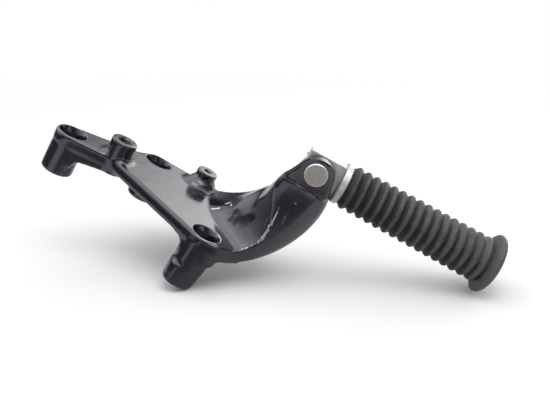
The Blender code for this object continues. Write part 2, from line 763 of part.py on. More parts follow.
def sleeve_outline():
    """Outer half-section of the sleeve as (radius, distance) points, with its ribs and flare."""
    points = []
    last = max(RIB_COUNT - 1, 1)
    shoulder_drop = RIB_HEIGHT * RIB_SHOULDER_DROP
    for k in range(RIB_COUNT):
        crest = RIB_RADIUS_START + (RIB_RADIUS_END - RIB_RADIUS_START) * k / last
        middle = FIRST_RIB + RIB_PITCH * k
        foot = crest - RIB_HEIGHT
        points += [
            (foot, middle - RIB_PITCH * RIB_FOOT),
            (crest - shoulder_drop, middle - RIB_PITCH * RIB_SHOULDER),
            (crest, middle),
            (crest - shoulder_drop, middle + RIB_PITCH * RIB_SHOULDER),
            (foot, middle + RIB_PITCH * RIB_FOOT),
        ]
    neck_radius = RIB_RADIUS_END - RIB_HEIGHT
    flare = FLARE_RADIUS - neck_radius
    start = SLEEVE_LENGTH - FLARE_LENGTH
    for k in range(1, 6):
        angle = math.pi / 2 * k / 5
        rise = FLARE_LENGTH * (1 - FLARE_RIM) * (1 - math.cos(angle))
        points.append((neck_radius + flare * math.sin(angle), start + rise))
    rim = FLARE_LENGTH * FLARE_RIM
    for k in range(1, 6):
        angle = math.pi / 2 * k / 5
        points.append((FLARE_RADIUS - rim * 0.8 * (1 - math.cos(angle)), SLEEVE_LENGTH - rim * (1 - math.sin(angle))))
    return points


def rubber_sleeve(material):
    """Ribbed sleeve with a blind bore, pushed over the rod."""
    bore = ROD_RADIUS + SEAT_GAP
    first = RIB_RADIUS_START - RIB_HEIGHT
    profile = [(bore, ROD_LENGTH), (bore, 0), (first, 0)]
    profile += sleeve_outline()
    start = COLLAR_START + COLLAR_THICKNESS + SEAT_GAP
    item = turned("rubber_sleeve", profile, along_x(start), SLEEVE_SEGMENTS, material)
    shade_round(item, 50)
    return item


def main():
    clear_scene()
    paint = metal_or_rubber("black_paint", (0.02, 0.02, 0.025), 0.2, 0.0)
    aluminium = metal_or_rubber("aluminium", (0.62, 0.62, 0.62), 0.4, 1.0)
    steel = metal_or_rubber("pin_steel", (0.45, 0.42, 0.40), 0.45, 1.0)
    rubber = metal_or_rubber("black_rubber", (0.03, 0.03, 0.03), 0.6, 0.0)

    hanger(paint)
    pivot_pin(steel)
    pin_washer(steel)
    split_pin(steel)

    pivot = bpy.data.objects.new("footrest_pivot", None)
    pivot.location = (PIVOT_X, 0, PIVOT_Z)
    pivot.rotation_euler.y = -math.radians(REST_TILT)
    bpy.context.collection.objects.link(pivot)
    footrest_bar(aluminium)
    rubber_sleeve(rubber)
    for name in ("footrest_bar", "lug", "lug_bore", "rubber_sleeve"):
        bpy.data.objects[name].parent = pivot


main()
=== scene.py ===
"""Looks for a cast motorcycle footrest hanger with a folding, rubber-covered footrest.

The file is laid out as an add-on and run as a script in Blender 4.5. Lengths are
metres in the part's own frame: +X runs along the open footrest and +Z along the
frame bolts, out of the counterbored face.
"""

import json
import math

import bmesh
import bpy
from mathutils import Matrix, Vector


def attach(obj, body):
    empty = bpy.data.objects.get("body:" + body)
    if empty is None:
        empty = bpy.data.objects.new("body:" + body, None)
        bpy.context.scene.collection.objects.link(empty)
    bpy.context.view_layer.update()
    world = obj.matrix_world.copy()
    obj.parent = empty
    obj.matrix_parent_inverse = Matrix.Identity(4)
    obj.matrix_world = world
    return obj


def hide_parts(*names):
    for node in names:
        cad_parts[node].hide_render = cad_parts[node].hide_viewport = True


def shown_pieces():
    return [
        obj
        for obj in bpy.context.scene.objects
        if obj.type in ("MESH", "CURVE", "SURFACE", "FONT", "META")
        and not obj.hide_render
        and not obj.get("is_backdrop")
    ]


bl_info = {
    "name": "Footrest hanger looks",
    "version": (1, 0, 0),
    "blender": (4, 5, 0),
    "location": "3D View > Sidebar > Footrest",
    "description": "Dresses a footrest hanger with worn paint, steel, ribbed rubber and studio light",
    "category": "Object",
}

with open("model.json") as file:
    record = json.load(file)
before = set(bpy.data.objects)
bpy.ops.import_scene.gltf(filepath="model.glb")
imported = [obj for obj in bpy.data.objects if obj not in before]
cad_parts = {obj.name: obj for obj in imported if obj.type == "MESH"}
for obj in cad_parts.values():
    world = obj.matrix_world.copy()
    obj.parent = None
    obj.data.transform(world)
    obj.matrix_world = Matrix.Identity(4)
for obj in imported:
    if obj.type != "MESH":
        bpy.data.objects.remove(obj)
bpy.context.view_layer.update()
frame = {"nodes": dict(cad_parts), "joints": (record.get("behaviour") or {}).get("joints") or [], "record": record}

MM = 0.001
OPENINGS = {o["name"]: o["box_m"] for o in frame["record"]["physics"]["openings"]}
BOX_REACH = 3.0 * MM  # how far an opening's box stands out of the metal
PLATE_TOP = OPENINGS["front_counterbore"][1][2] - BOX_REACH
BOLT_HOLES = ("left_bolt_hole", "back_bolt_hole", "front_bolt_hole")
PIVOT = Vector(frame["joints"][0]["pos_m"])
CAST_SKIN = 1.0 * MM  # how far the cast ears stand out of their machined faces
OVERLAP = 1.0 * MM  # how far a cutter runs on into the open or into its neighbour


def opening_centre(name):
    """Middle of a stated opening, seen along the bolts."""
    low, high = OPENINGS[name]
    return (Vector(low) + Vector(high)) / 2


def mount_point(name):
    """Where a stated mount lies."""
    found = next(m for m in frame["record"]["mounts"] if m["name"] == name)
    return Vector(found["pos_m"])


def bolt_foot(name):
    """Height of the flat foot below a bolt hole."""
    return OPENINGS[name][0][2] + BOX_REACH


# Shader arithmetic


class Field:
    """A shader socket that can be used in Python expressions."""

    def __init__(self, graph, socket):
        self.graph = graph
        self.socket = socket

    def math(self, operation, first, second=0.0):
        return self.graph.node("ShaderNodeMath", {"operation": operation}, {0: first, 1: second})

    def __add__(self, other):
        return self.math("ADD", self, other)

    def __sub__(self, other):
        return self.math("SUBTRACT", self, other)

    def __mul__(self, other):
        return self.math("MULTIPLY", self, other)

    def __rsub__(self, other):
        return self.math("SUBTRACT", other, self)

    def __abs__(self):
        return self.math("ABSOLUTE", self)

    __radd__ = __add__
    __rmul__ = __mul__

    def least(self, other):
        return self.math("MINIMUM", self, other)

    def most(self, other):
        return self.math("MAXIMUM", self, other)

    def step(self, low, high):
        """Smooth rise from 0 at low to 1 at high; it falls where high is less than low."""
        values = {0: self, 1: min(low, high), 2: max(low, high)}
        rise = self.graph.node("ShaderNodeMapRange", {"interpolation_type": "SMOOTHSTEP"}, values)
        return rise if low < high else 1 - rise


class Arrow(Field):
    """A vector socket in metres."""

    def vector_math(self, operation, *others, output=0):
        values = {0: self}
        values.update({i + 1: other for i, other in enumerate(others)})
        made = self.graph.node("ShaderNodeVectorMath", {"operation": operation}, values, output)
        return made if output else Arrow(self.graph, made.socket)

    def minus(self, point):
        return self.vector_math("SUBTRACT", tuple(point))

    def times(self, factors):
        return self.vector_math("MULTIPLY", tuple(factors))

    def length(self):
        return self.vector_math("LENGTH", output=1)

    def along(self, direction):
        return self.vector_math("DOT_PRODUCT", tuple(direction), output=1)


class Graph:
    """Builds one material's or world's nodes."""

    def __init__(self, owner):
        owner.use_nodes = True
        self.tree = owner.node_tree
        self.tree.nodes.clear()

    def node(self, kind, settings, values, output=0):
        """Add a node: its properties first, then its sockets by name or number."""
        made = self.tree.nodes.new(kind)
        for name, value in settings.items():
            setattr(made, name, value)
        for name, value in values.items():
            if isinstance(value, Field):
                self.tree.links.new(value.socket, made.inputs[name])
            else:
                made.inputs[name].default_value = value
        return Field(self, made.outputs[output]) if made.outputs else None

    def place(self):
        """Where a point lies in the part's frame, in metres."""
        return Arrow(self, self.node("ShaderNodeTexCoord", {}, {}, "Object").socket)

    def noise(self, place, size, detail=3.0, roughness=0.5):
        """Soft noise, around a half, whose cells have about the given size."""
        values = {"Vector": place, "Scale": 1 / size, "Detail": detail, "Roughness": roughness}
        return self.node("ShaderNodeTexNoise", {}, values)

    def mix(self, share, first, second):
        """Colour that goes from the first to the second as the share rises."""
        values = {0: share, 6: first, 7: second}
        return self.node("ShaderNodeMix", {"data_type": "RGBA"}, values, 2)

    def bump(self, height, distance, strength=1.0, under=None):
        """Surface direction roughened by a height, on top of an earlier bump."""
        values = {"Height": height, "Distance": distance, "Strength": strength}
        if under:
            values["Normal"] = under
        return self.node("ShaderNodeBump", {}, values)

    def surface(self, settings):
        """End a material in the usual shader, with its inputs by name."""
        shader = self.node("ShaderNodeBsdfPrincipled", {}, settings)
        self.node("ShaderNodeOutputMaterial", {}, {"Surface": shader})


def solid(color):
    """A colour as a shader socket takes it."""
    return (*color, 1.0)


def grey(level):
    return (level, level, level, 1.0)


def segment_share(place, start, end, width, soft):
    """1 within a width of the line between two points, falling to 0 over the soft edge."""
    start, end = Vector(start), Vector(end)
    run = end - start
    offset = place.minus(start)
    share = (offset.along(run / run.length_squared)).most(0.0).least(1.0)
    graph = place.graph
    across = graph.node("ShaderNodeVectorMath", {"operation": "SCALE"}, {0: tuple(run), 3: share})
    away = offset.vector_math("SUBTRACT", across).length()
    return away.step(width + soft, width)


def strongest(shares):
    """The largest of several shares at each point."""
    total, *others = shares
    for share in others:
        total = total.most(share)
    return total


# Finishes


# Places of paint damage, found on the casting: start, end, half width
PAINT_CHIPS = (
    ((-0.0038, 0.0387, 0.0378), (0.0002, 0.0372, 0.0414), 0.0005),
    ((0.0026, 0.0396, 0.0456), (0.0040, 0.0382, 0.0475), 0.0006),
    ((0.0044, 0.0378, 0.0480), (0.0047, 0.0377, 0.0486), 0.0004),
    ((0.0055, 0.0336, 0.0490), (0.0060, 0.0320, 0.0492), 0.0003),
    ((0.0293, -0.0055, 0.0952), (0.0448, -0.0058, 0.0934), 0.0001),
)
PAINT_SCUFFS = (
    ((0.0294, -0.0060, 0.0774), (0.0310, -0.0053, 0.0646), 0.0003),
    ((0.0283, -0.0038, 0.0736), (0.0267, -0.0003, 0.0537), 0.0002),
    ((0.0300, -0.0050, 0.0676), (0.0312, -0.0040, 0.0520), 0.0004),
    ((0.0310, -0.0051, 0.0608), (0.0296, -0.0035, 0.0495), 0.0005),
    ((0.0236, -0.0022, 0.0400), (0.0290, -0.0034, 0.0483), 0.0003),
)
PAINT_SCRATCHES = (
    ((0.0352, -0.0062, 0.0720), (0.0359, -0.0066, 0.0771), 0.0002),
    ((0.0378, -0.0048, 0.0674), (0.0391, -0.0054, 0.0725), 0.0001),
    ((0.0358, -0.0055, 0.0684), (0.0366, -0.0059, 0.0720), 0.0001),
    ((0.0366, -0.0069, 0.0840), (0.0366, -0.0069, 0.0846), 0.0004),
)
COUNTERBORE_WEAR = {"left_counterbore": 0.25, "back_counterbore": 0.2, "front_counterbore": 0.8}
WORN_SIDE = (0.8, -0.6, 0.0)
SIDE_FADE = (-6 * MM, 5 * MM)  # along that side, from the middle of a counterbore
RIM_FADE = (0.35 * MM, 0.15 * MM)  # distances from the rubbed ring's middle
LIP_FADE = (PLATE_TOP - 0.9 * MM, PLATE_TOP - 0.5 * MM)  # heights


def worn_lines(place, segments, soft):
    """Share of wear along a set of short lines."""
    return strongest([segment_share(place, *segment, soft) for segment in segments])


def worn_rims(place, settings):
    """Share of bare metal on the rims of the counterbores."""
    patchy = place.graph.noise(place, 7 * MM, 2.0)
    rims = []
    for name, wear in COUNTERBORE_WEAR.items():
        centre = opening_centre(name)
        offset = place.minus((centre.x, centre.y, 0)).times((1, 1, 0))
        rim = abs(offset.length() - settings.rim_radius).step(*RIM_FADE)
        side = offset.along(WORN_SIDE).step(*SIDE_FADE)
        rims.append(rim * (side * wear))
    lip = place.along((0, 0, 1)).step(*LIP_FADE)
    return strongest(rims) * lip * patchy.step(0.3, 0.55)


def bare_metal(place, settings):
    """Share of metal that shows through the paint: chips, scuffs, scratches and rims."""
    ragged = place.graph.noise(place, 1.1 * MM, 3.0, 0.7)
    streaky = place.graph.noise(place.times((1.0, 1.0, 0.12)), 0.9 * MM, 4.0, 0.7)
    chips = worn_lines(place, PAINT_CHIPS, 0.4 * MM) * ragged.step(0.3, 0.4)
    scuffs = worn_lines(place, PAINT_SCUFFS, 0.8 * MM)
    scuffs = (scuffs * 0.45 + streaky * 0.7 + ragged * 0.5).step(0.98, 1.08)
    scratches = worn_lines(place, PAINT_SCRATCHES, 0.25 * MM) * ragged.step(0.4, 0.6) * 0.45
    return chips.most(scuffs).most(scratches).most(worn_rims(place, settings))


def paint_finish(settings):
    """Gloss black paint on a casting, dusty, and worn through in places."""
    material = bpy.data.materials.new("black_gloss_paint")
    graph = Graph(material)
    place = graph.place()
    ripple = graph.noise(place, 9 * MM, 2.0)
    grain = graph.noise(place, 1.6 * MM, 3.0)
    smear = graph.noise(place, 16 * MM, 4.0, 0.6)
    specks = graph.noise(place, 2.2 * MM, 4.0, 0.65)
    bare = bare_metal(place, settings)
    dust = specks.step(0.6, 0.75) * 0.25
    color = graph.mix(dust, solid(settings.paint_color), solid(settings.dust_color))
    color = graph.mix(bare, color, solid(settings.bare_color))
    gloss = settings.paint_roughness + (smear - 0.4) * 0.12 + dust * 0.3
    bump = graph.bump(ripple, 0.5 * MM, 0.25)
    bump = graph.bump(grain, 0.05 * MM, 0.5, bump)
    bump = graph.bump(1 - bare, 0.12 * MM, 0.7, bump)
    graph.surface({
        "Base Color": color,
        "Roughness": gloss + bare * 0.25,
        "Metallic": bare * 0.5,
        "Normal": bump,
        "Specular IOR Level": settings.paint_specular,
    })
    return material


STEEL_COLOR = (0.42, 0.40, 0.38)
RUST_COLOR = (0.40, 0.22, 0.17)
PIT_COLOR = (0.16, 0.1, 0.08)
# Steel colour of the painted highlight round the pin head's rim
RIM_HIGHLIGHT_COLOR = (0.75, 0.74, 0.72)
PIN_EDGE = 0.25 * MM
PIN_STAIN_RADIUS = 6.2 * MM  # that the stain fades to
PIN_HIGHLIGHT_RADII = (6.0 * MM, 6.7 * MM)  # radii between which the painted highlight round the head's rim begins


def rusty_steel_finish():
    """Dull plated steel with pits, a stained middle and a painted highlight round the head's rim."""
    material = bpy.data.materials.new("pin_steel_spotted")
    graph = Graph(material)
    place = graph.place()
    offset = place.minus(PIVOT).times((1, 0, 1)).length()
    pits = graph.noise(place, 1.1 * MM, 5.0, 0.7)
    blotch = graph.noise(place, 3.2 * MM, 3.0, 0.6)
    stain = offset.step(PIN_STAIN_RADIUS, 1.0 * MM) * blotch.step(0.35, 0.65)
    # Painted highlight: the rim of the head is lightened toward a bright steel colour
    rim = offset.step(*PIN_HIGHLIGHT_RADII)
    tone = graph.mix(stain * 0.6, solid(STEEL_COLOR), solid(RUST_COLOR))
    tone = graph.mix(pits.step(0.55, 0.7) * 0.55, tone, solid(PIT_COLOR))
    tone = graph.mix(rim * 0.6, tone, solid(RIM_HIGHLIGHT_COLOR))
    graph.surface({
        "Base Color": tone,
        "Roughness": 0.42 + pits * 0.2 - rim * 0.12,
        "Metallic": 0.75 - stain * 0.35,
        "Normal": graph.bump(pits, 0.25 * MM, 0.6),
    })
    return material


DULL_ALUMINIUM_COLOR = (0.34, 0.34, 0.35)
GRIME_COLOR = (0.15, 0.15, 0.16)


def cast_aluminium_finish(settings):
    """Satin aluminium: fine grain, with faint lines where it was turned."""
    material = bpy.data.materials.new("aluminium_satin")
    graph = Graph(material)
    place = graph.place()
    grain = graph.noise(place, 0.7 * MM, 4.0, 0.6)
    cloud = graph.noise(place, 5 * MM, 3.0)
    lines = graph.noise(place.times((1.0, 0.05, 0.05)), 0.35 * MM, 2.0)
    bright, dull = solid(settings.aluminium_color), solid(DULL_ALUMINIUM_COLOR)
    tone = graph.mix(cloud.step(0.35, 0.75) * 0.5, bright, dull)
    tone = graph.mix(grain.step(0.6, 0.75) * 0.3, tone, solid(GRIME_COLOR))
    graph.surface({
        "Base Color": tone,
        "Roughness": 0.36 + cloud * 0.2,
        "Metallic": 0.9,
        "Normal": graph.bump(grain + lines * 0.6, 0.08 * MM, 0.5),
    })
    return material


FLARE_SHEEN = (108 * MM, 116 * MM)  # distances from the pivot over which a painted sheen turns the rubber grey


def rubber_finish(settings):
    """Worn moulded rubber, greyer on its crests, with a painted sheen that greys its flared end."""
    material = bpy.data.materials.new("moulded_black_rubber")
    graph = Graph(material)
    place = graph.place()
    grain = graph.noise(place, 0.45 * MM, 4.0, 0.6)
    blotch = graph.noise(place, 6 * MM, 4.0, 0.6)
    reach = place.minus(PIVOT).times((0, 1, 1)).length()
    crest = reach.step(settings.rib_radius - 1.3 * MM, settings.rib_radius + 0.3 * MM)
    # Painted sheen: the flared end is greyed where it would catch the light
    flare = place.minus(PIVOT).along((1, 0, 0)).step(*FLARE_SHEEN)
    # Grey share: real wear on the crests, random dust, and the painted sheen at the flared end
    worn = (crest * 0.5 + blotch * 0.6 + flare * 0.4).step(0.45, 0.95)
    color = graph.mix(worn, solid(settings.rubber_color), solid(settings.wear_and_sheen_color))
    graph.surface({
        "Base Color": color,
        "Roughness": 0.62 - worn * 0.1 + (grain - 0.5) * 0.1,
        "Normal": graph.bump(grain + blotch * 0.4, 0.08 * MM, 0.5),
        "Specular IOR Level": 0.4,
    })
    return material


# Mesh building


def link(name, mesh, body, material):
    """Put a finished mesh on a body, with its material."""
    piece = bpy.data.objects.new(name, mesh)
    bpy.context.scene.collection.objects.link(piece)
    mesh.materials.clear()
    mesh.materials.append(material)
    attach(piece, body)
    return piece


def finish_node(name, material, edge):
    """Give a solid's own mesh its material and broken edges."""
    node = frame["nodes"][name]
    node.data.materials.clear()
    node.data.materials.append(material)
    bevel = node.modifiers.new("broken_edges", "BEVEL")
    bevel.width = edge
    bevel.segments = 2
    bevel.limit_method = "ANGLE"
    bevel.angle_limit = math.radians(40)


def shade(mesh, degrees):
    """Smooth shading, broken where faces meet at more than an angle."""
    mesh.shade_smooth()
    mesh.set_sharp_from_angle(angle=math.radians(degrees))


def close_rings(bm, rings):
    """Join equal rings of points, one after another, and close both ends."""
    bm.faces.new(rings[0])
    bm.faces.new(rings[-1])
    for first, second in zip(rings, rings[1:]):
        for k in range(len(first)):
            j = (k + 1) % len(first)
            bm.faces.new((first[k], second[k], second[j], first[j]))
    bmesh.ops.recalc_face_normals(bm, faces=bm.faces)


def revolve(bm, profile, place, segments):
    """Turn (radius, height) points about a placed Z axis, with flat ends."""
    rings = []
    for radius, height in profile:
        ring = []
        for k in range(segments):
            angle = 2 * math.pi * k / segments
            point = Vector((radius * math.cos(angle), radius * math.sin(angle), height))
            ring.append(bm.verts.new(place @ point))
        rings.append(ring)
    close_rings(bm, rings)


def rod(bm, radius, ends, place, segments):
    """Plain cylinder between two heights on a placed Z axis."""
    revolve(bm, [(radius, end) for end in ends], place, segments)


def box(bm, low, high):
    """Plain block between two corners."""
    size = Vector(high) - Vector(low)
    middle = (Vector(high) + Vector(low)) / 2
    place = Matrix.Translation(middle) @ Matrix.Diagonal((*size, 1.0))
    bmesh.ops.create_cube(bm, size=1.0, matrix=place)


def slab(bm, outline, near, far):
    """Extrude an outline of (x, z) points along the part's Y."""
    inner = [bm.verts.new((x, far, z)) for x, z in outline]
    outer = [bm.verts.new((x, near, z)) for x, z in outline]
    bm.faces.new(inner)
    bm.faces.new(outer)
    for k in range(len(outline)):
        bm.faces.new((inner[k - 1], inner[k], outer[k], outer[k - 1]))
    bmesh.ops.recalc_face_normals(bm, faces=bm.faces)


def arc(x, z, radius, first, last, steps=12):
    """(x, z) points of an arc between two angles in degrees."""
    angles = (math.radians(first + (last - first) * k / steps) for k in range(steps + 1))
    return [(x + radius * math.cos(angle), z + radius * math.sin(angle)) for angle in angles]


def about_pivot(points):
    """(x, z) points that are given in millimetres from the pivot."""
    return [(PIVOT.x + x * MM, PIVOT.z + z * MM) for x, z in points]


def helper(name, build):
    """A form used only to make another mesh."""
    bm = bmesh.new()
    build(bm)
    mesh = bpy.data.meshes.new(name)
    bm.to_mesh(mesh)
    bm.free()
    form = bpy.data.objects.new(name, mesh)
    bpy.context.scene.collection.objects.link(form)
    return form


def settle(form):
    """Replace a form's mesh by what its modifiers make."""
    bpy.context.view_layer.update()
    graph = bpy.context.evaluated_depsgraph_get()
    mesh = bpy.data.meshes.new_from_object(form.evaluated_get(graph))
    form.modifiers.clear()
    form.data = mesh
    return mesh


def upright(centre):
    """Frame on the plate's own Z through a point's X and Y."""
    return Matrix.Translation((centre[0], centre[1], 0))


def across(point):
    """Frame whose own Z runs along the part's Y through a point's X and Z."""
    return Matrix.Translation((point.x, 0, point.z)) @ Matrix.Rotation(-math.pi / 2, 4, "X")


# Casting


# How far the plugs reach past what is machined, and the sizes of those round the pivot
SEAT_PLUG = 1.0 * MM
SEAT_PLUG_DEPTH = 0.4 * MM
BOLT_PLUG = 0.6 * MM
THREAD_PLUG = 1.2 * MM
THREAD_PLUG_DEPTH = 5.0 * MM
SLOT_PLUG = 0.6 * MM
SLOT_PLUG_RADIUS = 8.5 * MM
SLOT_PLUG_RIGHT = 11.5 * MM
SLOT_PLUG_BELOW = 14.0 * MM
EAR_PLUG = 1.0 * MM
EAR_PLUG_RADIUS = 8.0 * MM
CHEEK_SKIN = 0.8 * CAST_SKIN
# Outline of the near ear's cheek left of its machined face, in millimetres from the pivot
CHEEK = ((-7.5, -11.8), (-7.5, 6.5), (-9.2, 5.5), (-14.2, -7.5), (-15.2, -11.8))


def plug_bores(bm, settings):
    """Fill what is machined and the near ear's cheek, so that only the cast skin is softened."""
    for name in BOLT_HOLES:
        place = upright(opening_centre(name))
        low = PLATE_TOP - settings.counterbore_depth - SEAT_PLUG_DEPTH
        rod(bm, settings.counterbore_radius + SEAT_PLUG, (low, PLATE_TOP), place, 48)
        rod(bm, settings.bolt_hole_radius + BOLT_PLUG, (bolt_foot(name), PLATE_TOP), place, 48)
    for centre, radius, rise in threaded_bosses(settings):
        ends = (PLATE_TOP - THREAD_PLUG_DEPTH, PLATE_TOP + rise)
        rod(bm, radius + THREAD_PLUG, ends, upright(centre), 32)

    half = settings.lug_thickness / 2 + SLOT_PLUG
    near, far = PIVOT.y - half, PIVOT.y + half
    rod(bm, SLOT_PLUG_RADIUS, (near, far), across(PIVOT), 40)
    low = (PIVOT.x - SLOT_PLUG_RADIUS, near, PIVOT.z - SLOT_PLUG_BELOW)
    box(bm, low, (PIVOT.x + SLOT_PLUG_RIGHT, far, PIVOT.z))

    half = settings.fork_width / 2
    for sign in (-1, 1):
        ends = sorted(PIVOT.y + sign * (half + step) for step in (-EAR_PLUG, CAST_SKIN))
        rod(bm, EAR_PLUG_RADIUS, ends, across(PIVOT), 40)
    slab(bm, about_pivot(CHEEK), PIVOT.y - half - CHEEK_SKIN, PIVOT.y - half + EAR_PLUG)


def threaded_bosses(settings):
    """Centre, thread radius and rise above the plate of each tapped boss."""
    pedal = opening_centre("pedal_thread")
    switch = Vector(settings.switch_boss)
    return (
        (pedal, settings.pedal_thread_radius, mount_point("pedal_boss_top").z - PLATE_TOP),
        (switch, settings.switch_thread_radius, mount_point("switch_boss_top").z - PLATE_TOP),
    )


def bolt_cutter(centre, foot, settings):
    """Counterbored bolt hole with a broken edge at its mouth."""
    edge = settings.edge_break
    seat = PLATE_TOP - settings.counterbore_depth
    wide, narrow = settings.counterbore_radius, settings.bolt_hole_radius
    profile = (
        (narrow + edge, foot - OVERLAP),
        (narrow + edge, foot),
        (narrow, foot + edge),
        (narrow, seat),
        (wide, seat),
        (wide, PLATE_TOP - edge),
        (wide + edge + OVERLAP, PLATE_TOP + OVERLAP),
    )
    return helper("bolt_cutter", lambda bm: revolve(bm, profile, upright(centre), 96))


THREAD_SEGMENTS = 40
THREAD_STEPS = 6  # rings of points to each turn
GROOVE_SHARE = 0.55  # of the pitch
THREAD_START = 0.8 * MM  # depth of the countersink
THREAD_MOUTH = ((0.0, 0.7 * MM), (OVERLAP, 1.2 * MM))  # rise above the top, growth in radius


def thread_cutter(centre, radius, top, depth, pitch):
    """Tapped hole: a helical groove on the wall below a countersunk mouth."""
    steps = int(depth / pitch) * THREAD_STEPS
    groove = GROOVE_SHARE * pitch

    def wall(k, i):
        """Radius of the grooved wall at one point of one ring."""
        share = (k / THREAD_STEPS - i / THREAD_SEGMENTS) % 1.0
        wave = 0.5 - 0.5 * math.cos(2 * math.pi * share)
        return radius + groove * (wave - 0.4) * 0.5

    def ring(bm, height, radii):
        points = []
        for i, reach in enumerate(radii):
            angle = 2 * math.pi * i / THREAD_SEGMENTS
            x, y = centre[0] + reach * math.cos(angle), centre[1] + reach * math.sin(angle)
            points.append(bm.verts.new((x, y, height)))
        return points

    def build(bm):
        rings = []
        for k in range(steps + 1):
            radii = [wall(k, i) for i in range(THREAD_SEGMENTS)]
            rings.append(ring(bm, top - THREAD_START - depth * k / steps, radii))
        for rise, growth in THREAD_MOUTH:
            rings.insert(0, ring(bm, top + rise, [radius + growth] * THREAD_SEGMENTS))
        close_rings(bm, rings)

    return helper("thread_cutter", build)


CUT_REACH = 30 * MM  # how far cutters reach out of the fork
FACE_DEPTH = 10 * MM  # thickness of what a spot face cuts away
STOP_START = 4.9 * MM  # how far right of the pivot the stop lip begins
STOP_RISE = 1.0 * MM  # height of the stop lip above the slot's floor
EAR_TOP_DROP = 1.7  # how much more the near ear's top is shifted down than right
EAR_TOP_ARC = (10, 140)  # degrees
# What lies outside the near ear's rounded top, in millimetres from the pivot
EAR_OUTSIDE = ((-14.6, -8.0), (-30, -14.0), (-30, 30), (30, 30))


def fork_cutters(settings):
    """Slot and its stop lip, spot faces, the near ear's rounded top, and the pivot bore."""
    lug = settings.lug_thickness / 2 + settings.seat_gap
    near, far = PIVOT.y - lug, PIVOT.y + lug
    left, right, crown = PIVOT.x - CUT_REACH, PIVOT.x + CUT_REACH, PIVOT.z + CUT_REACH
    floor = PIVOT.z - settings.slot_depth
    split = PIVOT.x + STOP_START
    half = settings.fork_width / 2
    low, high = PIVOT.z - settings.spot_face_below, PIVOT.z + settings.spot_face_above
    bore = settings.pin_radius + settings.seat_gap

    def slot(bm):
        box(bm, (left, near, floor), (split, far, crown))

    def slot_over_stop(bm):
        box(bm, (split - OVERLAP, near, floor + STOP_RISE), (right, far, crown))

    def near_spot(bm):
        corner = settings.spot_corner
        x = PIVOT.x - settings.spot_face_left + corner
        outline = [(right, low), (right, high)]
        outline += arc(x, high - corner, corner, 90, 180)
        outline += arc(x, low + corner, corner, 180, 270)
        slab(bm, outline, PIVOT.y - half - FACE_DEPTH, PIVOT.y - half)
        tilt = Matrix.Rotation(math.radians(settings.spot_face_tilt), 3, "Y")
        bmesh.ops.rotate(bm, cent=PIVOT, matrix=tilt, verts=bm.verts)

    def near_ear_top(bm):
        x = PIVOT.x + settings.ear_top_shift
        z = PIVOT.z - EAR_TOP_DROP * settings.ear_top_shift
        outline = arc(x, z, settings.ear_top_radius, *EAR_TOP_ARC) + about_pivot(EAR_OUTSIDE)
        slab(bm, outline, PIVOT.y - half - FACE_DEPTH, near + OVERLAP)

    def far_spot(bm):
        box(bm, (left, PIVOT.y + half, low), (right, PIVOT.y + half + FACE_DEPTH, high))

    def pivot_bore(bm):
        rod(bm, bore, (PIVOT.y - CUT_REACH, PIVOT.y + CUT_REACH), across(PIVOT), 64)

    builders = (slot, slot_over_stop, near_spot, near_ear_top, far_spot, pivot_bore)
    return [helper(build.__name__, build) for build in builders]


def remesh(form, size):
    """Make a form anew from small cubes of the given size."""
    skin = form.modifiers.new("skin", "REMESH")
    skin.mode = "VOXEL"
    skin.voxel_size = size


def soften(form, settings):
    """Turn the sharp form into a cast skin: fill its inner corners, then round all its edges."""
    sharp = form.data
    for distance in (settings.fillet, -settings.fillet):
        remesh(form, settings.skin_step)
        grow = form.modifiers.new("grow", "DISPLACE")
        grow.mid_level = 0.0
        grow.strength = distance
    both = bmesh.new()
    both.from_mesh(settle(form))
    both.from_mesh(sharp)
    both.to_mesh(form.data)
    both.free()
    remesh(form, settings.skin_step)
    smooth = form.modifiers.new("smooth", "SMOOTH")
    smooth.factor = 0.5
    smooth.iterations = settings.smooth_passes
    settle(form)


def fade(value, start, width):
    """Straight rise from 0 at the start to 1 a width further on."""
    return min(1.0, max(0.0, (value - start) / width))


# Where the arm's left side is drawn in: where each fade starts, and its width
SADDLE_HEIGHT = (40 * MM, 48 * MM)
SADDLE_FRONT = (-28 * MM, 9 * MM)
SADDLE_LEFT = (4 * MM, 6 * MM)


def hollow_saddle(form, settings):
    """Draw the arm's left side in between the plate and the ear, and blend its front edge."""
    vertices = form.data.vertices
    leftward = [-vertex.normal.x for vertex in vertices]
    blend = form.vertex_groups.new(name="blend")
    for vertex, share in zip(vertices, leftward):
        x, y, z = vertex.co
        middle = math.sin(math.pi * fade(z, *SADDLE_HEIGHT)) ** 2
        reach = middle * fade(-y, *SADDLE_FRONT) * fade(x, *SADDLE_LEFT)
        vertex.co.x += settings.saddle_pull * reach * fade(1.2 * share, 0, 1)
        blend.add([vertex.index], min(1.0, 2 * reach) * fade(share, -0.4, 1), "REPLACE")
    smooth = form.modifiers.new("blend", "SMOOTH")
    smooth.factor = 0.5
    smooth.iterations = settings.blend_passes
    smooth.vertex_group = blend.name
    settle(form)


def hole_cutters(settings):
    """Cutters of the three bolt holes and both tapped holes."""
    cutters = [bolt_cutter(opening_centre(name), bolt_foot(name), settings) for name in BOLT_HOLES]
    depths = (settings.pedal_thread_depth, settings.switch_thread_depth)
    pitches = (settings.pedal_thread_pitch, settings.switch_thread_pitch)
    for (centre, radius, rise), depth, pitch in zip(threaded_bosses(settings), depths, pitches):
        cutters.append(thread_cutter(centre, radius, PLATE_TOP + rise, depth, pitch))
    return cutters


def machine(form, cutters):
    """Cut every machined shape out of a form in one step."""
    tools = bpy.data.collections.new("cutters")
    for cutter in cutters:
        tools.objects.link(cutter)
    cut = form.modifiers.new("machining", "BOOLEAN")
    cut.operand_type = "COLLECTION"
    cut.collection = tools
    cut.operation = "DIFFERENCE"
    cut.solver = "EXACT"
    mesh = settle(form)
    for cutter in cutters:
        bpy.data.objects.remove(cutter)
    bpy.data.collections.remove(tools)
    return mesh


